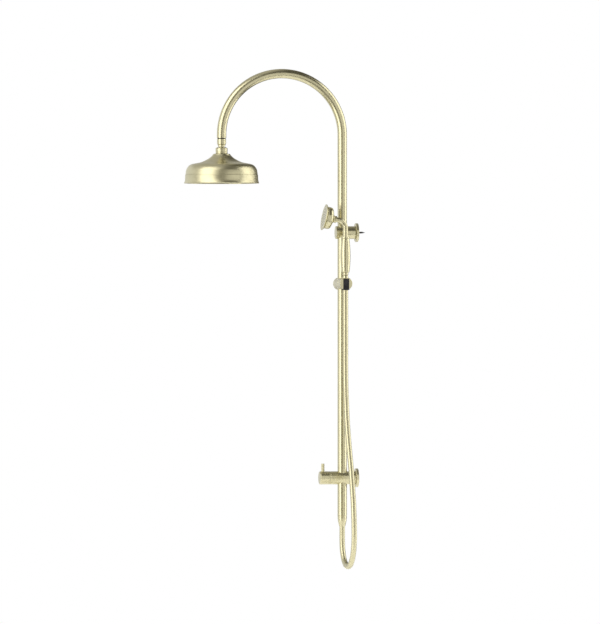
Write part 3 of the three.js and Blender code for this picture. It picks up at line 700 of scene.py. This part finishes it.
# ---------- bent pipes ----------
def bent_pipe(name, foot, rise, bend_radius, angle, end_length, size, wall, steps):
    """A pipe that rises from its foot, bends towards the room about X, and runs straight to its end.
    Its attribute "run" is the distance along the pipe, in metres."""
    bm = bmesh.new()
    run = bm.verts.layers.float.new("run")
    bmesh.ops.create_circle(bm, cap_ends=False, segments=SIDES, radius=size, matrix=Matrix.Translation(foot))
    centre = foot + Vector((0, -bend_radius, rise))

    def lengthen(edges, move, travelled, count):
        for i in range(count):
            made = bmesh.ops.extrude_edge_only(bm, edges=edges)["geom"]
            ring = [v for v in made if isinstance(v, bmesh.types.BMVert)]
            bmesh.ops.transform(bm, matrix=move, verts=ring)
            edges = [e for e in made if isinstance(e, bmesh.types.BMEdge)]
            for v in ring:
                v[run] = travelled * MM * (i + 1) / count + v[run]
        return edges

    edges = lengthen(bm.edges[:], Matrix.Translation((0, 0, rise)), rise, 1)
    one = Matrix.Rotation(angle / steps, 4, "X")
    about = Matrix.Translation(centre) @ one @ Matrix.Translation(-centre)
    step_length = bend_radius * angle / steps
    for _ in range(steps):
        edges = lengthen(edges, about, step_length, 1)
    heading = Matrix.Rotation(angle, 4, "X") @ Vector((0, 0, 1))
    lengthen(edges, Matrix.Translation(heading * end_length), end_length, 1)
    pipe = placed(name, bm, Matrix.Identity(4))
    shell = pipe.modifiers.new("wall", "SOLIDIFY")
    shell.thickness = wall * MM
    shell.offset = -1
    shell.use_even_offset = True
    shell.use_rim = True
    mesh = settled(pipe)
    pipe.modifiers.clear()
    pipe.data = mesh
    return pipe


def pipe_brass():
    """Aged brass for bent pipes: its lines go round the pipe, by the attribute "run"."""
    material, tree, shader, vector = blank("aged_brass_bent", 1.0)
    run = node(tree, "ShaderNodeAttribute", attribute_name="run")
    at_run = tree.nodes.new("ShaderNodeCombineXYZ")
    tree.links.new(run.outputs["Fac"], at_run.inputs[2])
    lines, bands = use(tree, TURNING_LINES, at_run.outputs[0], Fineness=1500.0)
    blotches, specks = use(tree, PATINA, vector)
    tarnish = math_node(tree, "MULTIPLY", blotches, 0.16)
    tarnish = math_node(tree, "ADD", tarnish, between(tree, bands, 0.35, 0.75, 0.0, 0.14), clamp=True)
    colour = mixed(tree, tarnish, PALE_BRASS, OLD_BRASS)
    colour = mixed(tree, math_node(tree, "MULTIPLY", specks, 0.08), colour, DARK_BRASS)
    tree.links.new(colour, shader.inputs["Base Color"])
    roughness = between(tree, lines, 0.3, 0.7, 0.22, 0.3)
    roughness = math_node(tree, "ADD", roughness, math_node(tree, "MULTIPLY", blotches, 0.06))
    tree.links.new(roughness, shader.inputs["Roughness"])
    bump(tree, shader, lines, 0.02, 0.0001)
    return material


BENT_BRASS = pipe_brass()


def swan_neck():
    low, top = up("swan_neck_pipe")
    reach = (riser.y - arm.y) / 2
    arch_height = top - PIPE - reach
    arm_end = up("arm_end_ring")[1] + 0.2
    pipe = bent_pipe("swan_neck", Vector((riser.x, riser.y, low)), arch_height - low, reach, math.pi,
                     arch_height - arm_end, PIPE, PIPE_WALL, 96)
    fit(pipe, BENT_BRASS, "swan_neck_pipe")


swan_neck()

# ---------- rose joint: stations are heights ----------
BALL = 9.5  # radius of the ball
STEM = 5
ball_height = up("ball_ring")[0] - 0.5


def on_sphere(size, r):
    return math.sqrt(size * size - r * r)


def arc(centre, size, start, end, steps):
    """Points on a circle about a station, between two angles counted from the radial direction."""
    angles = [start + (end - start) * i / steps for i in range(steps + 1)]
    return [(size * math.cos(a), centre + size * math.sin(a)) for a in angles]


def ball_joint():
    nut_size = radius("swivel_nut")
    nut_low, nut_high = up("swivel_nut")
    nut_top = nut_high - ball_height
    dome = math.hypot(nut_top, nut_size - 4.5)
    under = dome + 0.5
    stem_end = up("ball_stem")[1]
    ring_low, ring_high = up("arm_end_ring")
    sleeve_top = ring_low - 0.2
    neck_top = ring_high + 0.2 - 18
    neck = 9.9
    bore = 3
    outline = [
        *arc(ball_height, BALL, -math.acos(bore / BALL), math.acos(STEM / BALL), 32),
        (STEM, ball_height + on_sphere(under, STEM), 0.5),
        *[(r, ball_height + on_sphere(under, r)) for r in (6, 7, 8, 9)],
        (neck, ball_height + on_sphere(under, neck), 0.5),
        (neck, neck_top, 0.8), (12, neck_top + 1.2, 0.5), (12, sleeve_top - 0.6, 0.4), (11.4, sleeve_top), (9.3, sleeve_top), (9.3, stem_end, 0.4), (bore, stem_end),
    ]
    fit(turned("arm_ball_stem", outline, AXES["arm"]), BRASS["arm"], "ball_stem")
    ring = [(9.45, ring_low), (11, ring_low, 0.3), (11, ring_high, 0.3), (9.45, ring_high)]
    fit(turned("arm_black_ring", ring, AXES["arm"]), BLACK_PLASTIC, "arm_end_ring")
    cup = 11.15
    lip = 6.1
    foot = ball_height + 7.0
    shoulder = nut_size - 4.5
    crown = [(r, ball_height + on_sphere(dome, r)) for r in (nut_size - 0.5, nut_size - 1.5, nut_size - 2.5,
                                                              nut_size - 3.5)]
    nut = [
        (12.95, nut_low), (12.95, foot), (nut_size - 0.4, foot, 0.3), (nut_size, foot + 0.5, 0.3),
        (nut_size, foot + 3.4, 0.2), (nut_size - 0.45, foot + 3.8, 0.2), (nut_size - 0.45, foot + 4.5, 0.2),
        (nut_size, foot + 4.9, 0.2), (nut_size, ball_height + on_sphere(dome, nut_size), 0.4), *crown,
        (shoulder, nut_high), (8.6, ball_height + lip + 0.2), (8.6, ball_height + lip),
        *arc(ball_height, cup, math.asin((lip - 0.1) / cup), math.asin(0.5 / cup), 12),
    ]
    fit(turned("swivel_collar", nut, AXES["arm"]), BRASS["arm"], "swivel_nut")


ball_joint()

# ---------- rose ----------
rim_low = up("rose_rim")[0] - 0.4
rim_top = up("rose_rim")[1]
rose_top = up("rose_shell")[1]
ROSE = radius("rose_rim")
RIM_BORE = ROSE - 6
COLLAR_BORE = 13.1


def rose_shell():
    base = rim_low
    wall = 2
    shoulder = [
        (ROSE - 3.8, base + 23.4), (95.2, base + 31), (93.3, base + 38.5), (88.2, base + 46), (79, base + 51.5),
        (54.5, base + 56.7), (37.5, base + 64.7), (27, base + 72.5), (22, base + 79),
    ]
    outside = [tuple(p) for p in through(shoulder, 10)]
    socket_floor = base + 59
    inside = [(r - wall, z - wall) for r, z in outside if r > 30 and z < base + 62]
    foot = up("rose_shell")[0]
    spigot = RIM_BORE - FIT
    outline = [
        (spigot, foot), (spigot, base + 23.3), *outside[:-1], (22, rose_top, 0.8), (17, rose_top, 0.3),
        (COLLAR_BORE, rose_top), (COLLAR_BORE, socket_floor), (6, socket_floor), (6, socket_floor - 4),
        *reversed(inside), (spigot - wall, base + 23), (spigot - wall, foot),
    ]
    fit(turned("rose_bell", outline, AXES["arm"], 160), BRASS["arm"], "rose_shell")


def rose_rim():
    base = rim_low
    flare = [(ROSE, base + 1.4), (ROSE - 1.1, base + 4.2), (ROSE - 2.1, base + 7.6), (ROSE - 2.7, base + 12),
             (ROSE - 2.9, base + 17), (ROSE - 2.9, rim_top - 1)]
    outline = [
        (RIM_BORE - 2.6, base + 0.5, 0.3), (ROSE - 0.6, base + 0.4, 0.3),
        *[tuple(p) for p in through(flare, 4)], (ROSE - 3.2, rim_top, 0.3), (RIM_BORE, rim_top, 0.2),
        (RIM_BORE, base + 2.9),
        (RIM_BORE - 2.6, base + 2.9, 0.3),
    ]
    fit(turned("rose_skirt", outline, AXES["arm"], 160), BRASS["arm"], "rose_rim")


def nozzle_places(counts, pitch):
    places = []
    for k, count in enumerate(counts):
        for i in range(count):
            angle = 2 * math.pi * (i + 0.5 * (k % 2)) / count
            places.append((k * pitch * math.cos(angle), k * pitch * math.sin(angle)))
    return places


def spray_face(prefix, nodes, place, size, front, back, places, nozzle, proud, finish):
    """The pierced plate and, behind it, the soft mat with its nozzles, which stand proud of the plate.
    Stations run out of the face."""
    plate_back, mat_back = back
    edge = [(0, plate_back), (size, plate_back), (size, front, 0.4), (0, front)]
    plate = turned(f"{prefix}_spray_plate", edge, place)
    holes = bmesh.new()
    for x, y in places:
        bmesh.ops.create_cone(holes, cap_ends=True, segments=20, radius1=nozzle + FIT, radius2=nozzle + FIT,
                              depth=8, matrix=Matrix.Translation((x, y, front)))
    fit(cut(plate, placed("drill", holes, place)), finish, nodes[0])
    mat = bmesh.new()
    bmesh.ops.create_cone(mat, cap_ends=True, segments=SIDES, radius1=size, radius2=size,
                          depth=plate_back - 0.2 - mat_back,
                          matrix=Matrix.Translation((0, 0, (plate_back - 0.2 + mat_back) / 2)))
    tip = front + proud
    for x, y in places:
        made = bmesh.ops.create_cone(
            mat, cap_ends=True, segments=16, radius1=nozzle, radius2=nozzle * 0.72, depth=tip - plate_back + 0.6,
            matrix=Matrix.Translation((x, y, (tip + plate_back - 0.6) / 2)))["verts"]
        mat.normal_update()
        end = [f for f in {f for v in made for f in v.link_faces} if f.normal.z > 0.9]
        bmesh.ops.inset_region(mat, faces=end, thickness=nozzle * 0.3, depth=0.0)
        bmesh.ops.inset_region(mat, faces=end, thickness=0.05, depth=-0.9)
    fit(placed(f"{prefix}_nozzles", mat, place), SILICONE, nodes[1])


rose_shell()
rose_rim()
face_down = Matrix.Translation((arm.x, arm.y, 0)) @ Matrix.Rotation(math.pi, 4, "X")
plate_low, plate_high = up("rose_face_plate")
mat_high = up("rose_nozzle_mat")[1]
spray_face("rose", ("rose_face_plate", "rose_nozzle_mat"), face_down, RIM_BORE - FIT, -plate_low,
           (-plate_high, -mat_high), nozzle_places((1, 6, 12, 18, 24, 30), 15.4), 1.7, 1.7, BRASS["arm"])


# ---------- slider, its lock knob and the handset's cradle: stations run along X ----------
SLIDER = (up("slider_body")[1] - up("slider_body")[0]) / 2
LOCK_SCREW = (up("lock_screw")[1] - up("lock_screw")[0]) / 2


def block(low, high, edge, segments=3):
    """A box between two corners, in millimetres, with its edges rounded."""
    bm = bmesh.new()
    centre = (Vector(low) + Vector(high)) / 2
    size = Matrix.Diagonal((*(Vector(high) - Vector(low)), 1))
    bmesh.ops.create_cube(bm, size=1, matrix=Matrix.Translation(centre) @ size)
    if edge:
        bmesh.ops.bevel(bm, geom=bm.edges[:], offset=edge, offset_type="OFFSET", segments=segments, profile=0.5,
                        affect="EDGES", material=-1)
    return placed("block", bm, Matrix.Identity(4))


def slider_body():
    start, end = along("slider_body")
    shoulder = along("friction_washer")[0] - 0.2
    stub = 8
    outline = [
        (0, start), (SLIDER, start, ROUND_EDGE), (SLIDER, shoulder - 3.3, 0.2), (SLIDER - 0.45, shoulder - 2.9, 0.2),
        (SLIDER - 0.45, shoulder - 2.2, 0.2), (SLIDER, shoulder - 1.8, 0.2), (SLIDER, shoulder, ROUND_EDGE),
        (stub, shoulder), (stub, end), (0, end),
    ]
    body = turned("slider_barrel", outline, AXES["slider"])
    bore = radius("slider_liner") + 0.2
    cut(body, drill(bore, slider.z - SLIDER - 2, slider.z + SLIDER + 2, AXES["riser"], SIDES),
        drill(LOCK_SCREW + 0.22, start - 1, 0, AXES["slider"]), drill(2.2, bore - 2, end + 1, AXES["slider"]))
    fit(body, BRASS["slider"], "slider_body")
    low, high = up("slider_liner")
    liner = [(PIPE + 0.08, low, 0.2), (bore - 0.2, low, 0.2), (bore - 0.2, high, 0.2), (PIPE + 0.08, high, 0.2)]
    fit(turned("slider_sleeve", liner, AXES["riser"]), WHITE_PLASTIC, "slider_liner")
    start, end = along("friction_washer")
    washer = [(stub + 0.4, start), (SLIDER - 0.6, start), (SLIDER - 0.6, end), (stub + 0.4, end)]
    fit(turned("cradle_washer", washer, AXES["slider"]), BLACK_PLASTIC, "friction_washer")


def lock_knob():
    far, near = along("lock_knob")
    bore = LOCK_SCREW + 0.25
    outline = [(bore, near), (SLIDER, near, ROUND_EDGE)]
    outline += [
        (SLIDER, far + 4.2, 0.2), (SLIDER - 0.5, far + 3.8, 0.2), (SLIDER - 0.5, far + 3.1, 0.2), (SLIDER, far + 2.7, 0.2),
        (SLIDER, far, 1.2), (SLIDER - 4, far, 0.4), (SLIDER - 4.6, far + 0.5, 0.4), (0, far + 0.5),
        (0, far + 5), (bore, far + 5),
    ]
    fit(turned("lock_cap", outline, AXES["slider"]), BRASS["slider"], "lock_knob")


def cradle():
    start, end = along("cradle_body")
    bush = (out("cradle_bush")[1] - out("cradle_bush")[0]) / 2
    slot = 8  # half the width of the mouth
    outline = [
        (0, start), (SLIDER, start, ROUND_EDGE), (SLIDER, start + 1.9, 0.2), (SLIDER - 0.45, start + 2.3, 0.2),
        (SLIDER - 0.45, start + 3.0, 0.2), (SLIDER, start + 3.4, 0.2), (SLIDER, end, 1.4), (0, end),
    ]
    body = turned("cradle_barrel", outline, AXES["slider"])
    reach = 2 * SLIDER
    mouth = block((handset.x, handset.y - slot, slider.z - reach), (end + 2, handset.y + slot, slider.z + reach), 0)
    stub_end = along("slider_body")[1]
    cut(body, drill(8.12, start - 1, stub_end + 0.3, AXES["slider"]),
        drill(bush + FIT, slider.z - reach, slider.z + reach, AXES["handset"]), mouth,
        drill(2.2, stub_end, handset.x, AXES["slider"]), drill(4.3, handset.x - bush - 1.95, handset.x, AXES["slider"]))
    fit(body, BRASS["slider"], "cradle_body")
    low, high = up("cradle_bush")
    nut_low = HOSE_RADIUS + 0.6 + FIT
    nut_high = HOSE_RADIUS + 1.1 + FIT
    sleeve = turned("cradle_insert", [(0, low), (bush, low, 0.5), (bush, high, 0.8), (0, high)], AXES["handset"])
    tongue = block((handset.x, handset.y - slot + FIT, low), (end - 0.2, handset.y + slot - FIT, high), 0.7)
    cut(sleeve, tongue, operation="UNION")
    bore = [(0, low - 1), (nut_low + 1, low - 1), (nut_low, low + 0.6), (nut_low, slider.z - 8), (nut_high, high - 0.6),
            (nut_high + 1, high + 1), (0, high + 1)]
    cut(sleeve, turned("drill", bore, AXES["handset"]))
    fit(sleeve, BLACK_PLASTIC, "cradle_bush")


slider_body()
lock_knob()
cradle()

# ---------- handset: stations are heights ----------
HEAD = 35.3  # radius of the head's rim
CUP = HEAD - 6
CUP_START = 8.3
FACE = 42.2
RIM_START = FACE - 5.3


def hose_nut():
    low, high = up("hose_cone_nut")
    collar = up("cradle_bush")[1] + 0.3
    wide = HOSE_RADIUS + 1.1
    tail = 4.8 + FIT
    flank = [tuple(p) for p in through([(wide - 0.1, collar + 1.4), (wide - 0.7, collar + 4), (wide - 1.9, high - 0.6)], 5)]
    outline = [
        (6, low), (wide - 0.5, low, 0.3), (wide, collar - 1, 0.3), (wide - 0.35, collar - 0.2, 0.1),
        (wide - 0.35, collar + 0.5, 0.1), *flank, (wide - 2.4, high, 0.3), (tail, high), (tail, collar - 3), (6, collar - 3),
    ]
    fit(turned("hose_nut", outline, AXES["handset"], 64), BRASS["handset"], "hose_cone_nut")


def tail():
    low, high = up("handset_tail")
    start = up("hose_cone_nut")[1] + 0.3
    end = up("handset_grip")[0] - 0.3
    bulge = arc((start + end) / 2, 8, -0.35, 0.35, 12)
    outline = [
        (3, low), (4.8, low, 0.3), (4.8, start), (6.6, start, 0.3), *bulge, (7.2, end, 0.2), (6.8, end),
        (6.8, high, 0.3), (3, high),
    ]
    fit(turned("handset_ferrule", outline, AXES["handset"], 64), BRASS["handset"], "handset_tail")


def grip():
    start, end = up("handset_grip")
    size = radius("handset_grip")
    waist = 10.2
    steps = 48
    shares = [i / steps for i in range(steps + 1)]
    swell = [(waist + (size - waist) * math.sin(math.pi * t) ** 0.8, start + (end - start) * t) for t in shares]
    bore = 6.8 + FIT
    outline = [(bore, start), (waist - 0.4, start, 0.2), *swell[1:-1], (waist - 0.4, end, 0.2), (bore, end)]
    fit(turned("handset_handle", outline, AXES["handset"]), BRASS["handset"], "handset_grip")
    low, high = up("grip_bead")
    bead = [(7 + FIT, low), *arc((low + high) / 2, radius("grip_bead"), -0.2, 0.2, 10), (7 + FIT, high)]
    fit(turned("handset_bead", bead, AXES["handset"], 80), BRASS["handset"], "grip_bead")


def neck():
    foot = Vector((handset.x, handset.y, up("handset_neck")[0]))
    pipe = bent_pipe("handset_stem", foot, RISE_END - foot.z, NECK_BEND, math.pi / 2 - HEAD_TILT,
                     CUP_START - 0.3, 7 - FIT, 1.3, 40)
    fit(pipe, BENT_BRASS, "handset_neck")


def head():
    place = AXES["head"]
    wall = 1.6
    flare = [
        (8.8, CUP_START + 4.6), (9.4, CUP_START + 6.4), (12.5, CUP_START + 8.6), (19.5, CUP_START + 10.8),
        (25.5, CUP_START + 13.2), (CUP - 1, CUP_START + 16.4), (CUP, CUP_START + 20),
    ]
    outside = [tuple(p) for p in through(flare, 7)]
    inside = [(r - wall, s + wall) for r, s in outside if r > 11 and s < RIM_START - 3]
    end = RIM_START - 0.2
    outline = [
        (4.5, CUP_START), (9.6, CUP_START, 0.5), (9.6, CUP_START + 3.4, 0.5), (8.8, CUP_START + 4.1, 0.2), *outside,
        (CUP, end - 3.4, 0.2), (CUP - 0.35, end - 3.1, 0.2), (CUP - 0.35, end - 2.5, 0.2), (CUP, end - 2.2, 0.2),
        (CUP, end, 0.2), (CUP - wall, end), *reversed(inside), (4.5, CUP_START + 8.6 + wall),
    ]
    fit(turned("handset_cup", outline, place, 128), BRASS["head"], "handset_head_shell")
    bore = CUP + 0.8
    rim = [
        (CUP - 3.4, RIM_START), (CUP + 0.2, RIM_START, 0.2), (CUP + 2.2, RIM_START + 1.6, 0.9),
        (HEAD - 0.8, RIM_START + 3.4, 0.7), (HEAD, FACE - 0.7, 0.5), (HEAD - 0.5, FACE + 0.1, 0.3),
        (bore, FACE + 0.1, 0.2), (bore, RIM_START + 1.4), (CUP - 3.4, RIM_START + 1.4),
    ]
    fit(turned("handset_skirt", rim, place, 128), BRASS["head"], "handset_rim")
    spray_face("handset", ("handset_face_plate", "handset_nozzle_mat"), place, bore - FIT, FACE,
               (FACE - 1.5, FACE - 3.7), nozzle_places((1, 6, 12, 18), 7.4), 0.9, 0.7, BRASS["head"])


hose_nut()
tail()
grip()
neck()
head()

# ---------- pieces that stay as the frame has them ----------
FINISHES = {
    "aged_brass": BRASS["riser"],
    "raw_brass": RAW,
    "dark_steel": SCREW_STEEL,
    "stainless": STAINLESS,
    "black_plastic": BLACK_PLASTIC,
    "white_plastic": WHITE_PLASTIC,
    "rubber": RUBBER,
    "silicone": SILICONE,
    "hose": HOSE,
}


def finish_inner_pieces():
    for name, piece in frame["nodes"].items():
        if piece.hide_render:
            continue
        piece.data.materials.clear()
        piece.data.materials.append(FINISHES[SLOTS[name]])


finish_inner_pieces()

# ---------- studio ----------
LIGHT_DISTANCE = 2.5
CENTRE = Vector((0, -0.17, 0.45))
FLOOR_HEIGHT = -0.46
FLOOR_SIZE = 2.7


def softbox(name, angle, height, width, tall, brightness, colour=(1, 1, 1)):
    """A softbox aimed at the column. Its angle is from the camera's side, positive to the right, in
    degrees, and its brightness is that of its face, where 1 is white."""
    turn = math.radians(angle)
    data = bpy.data.lights.new(name, "AREA")
    data.shape = "RECTANGLE"
    data.size = width
    data.size_y = tall
    data.energy = brightness * math.pi * width * tall
    data.color = colour
    lamp = bpy.data.objects.new(name, data)
    bpy.context.scene.collection.objects.link(lamp)
    direction = math.cos(turn) * TOWARDS_CAMERA + math.sin(turn) * TO_THE_RIGHT
    lamp.location = CENTRE + LIGHT_DISTANCE * direction + Vector((0, 0, height))
    lamp.rotation_euler = (CENTRE - lamp.location).to_track_quat("-Z", "Y").to_euler()
    lamp.visible_camera = False


def surroundings():
    """White to the camera. To everything else it is a grey room, dark on the right and dim in front."""
    world = bpy.data.worlds.new("studio")
    world.use_nodes = True
    bpy.context.scene.world = world
    tree = world.node_tree
    tree.nodes.clear()
    where = tree.nodes.new("ShaderNodeTexCoord")

    def towards(direction, low, high):
        share = node(tree, "ShaderNodeVectorMath", operation="DOT_PRODUCT")
        tree.links.new(where.outputs["Generated"], share.inputs[0])
        share.inputs[1].default_value = direction
        return between(tree, share.outputs["Value"], low, high)

    room = mixed(tree, towards(TOWARDS_CAMERA, 0.3, 0.9), (0.56, 0.555, 0.54), (0.25, 0.245, 0.22))
    room = mixed(tree, towards(TO_THE_RIGHT, 0.0, 0.26), room, (0.085, 0.082, 0.07))
    path = tree.nodes.new("ShaderNodeLightPath")
    shown = mixed(tree, path.outputs["Is Camera Ray"], room, (1, 1, 1))
    light = tree.nodes.new("ShaderNodeBackground")
    end = tree.nodes.new("ShaderNodeOutputWorld")
    tree.links.new(shown, light.inputs["Color"])
    tree.links.new(light.outputs[0], end.inputs["Surface"])


def floor():
    bm = bmesh.new()
    bmesh.ops.create_circle(bm, cap_ends=True, segments=128, radius=FLOOR_SIZE / 2,
                            matrix=Matrix.Translation((CENTRE.x, CENTRE.y, FLOOR_HEIGHT)))
    mesh = bpy.data.meshes.new("floor")
    bm.to_mesh(mesh)
    bm.free()
    ground = add("floor", mesh)
    material, tree, shader, vector = blank("floor", 0.0)
    grains, cloud = use(tree, GRAIN, vector, Scale=60.0)
    tree.links.new(mixed(tree, cloud, (0.9, 0.9, 0.89), (0.84, 0.84, 0.83)), shader.inputs["Base Color"])
    shader.inputs["Roughness"].default_value = 0.7
    shader.inputs["Emission Color"].default_value = (1, 1, 1, 1)
    shader.inputs["Emission Strength"].default_value = 0.5
    ground.data.materials.append(material)


softbox("key", -48, 0.8, 2.3, 4.6, 2.0)
softbox("right", 98, 0.6, 2.6, 4.2, 1.9)
softbox("front_fill", 36, 0.0, 2.4, 3.0, 0.85)
softbox("left_rear", -128, 0.2, 3.6, 3.0, 0.46, (0.82, 0.87, 1.0))
surroundings()
floor()
bpy.context.scene.view_settings.view_transform = "Standard"
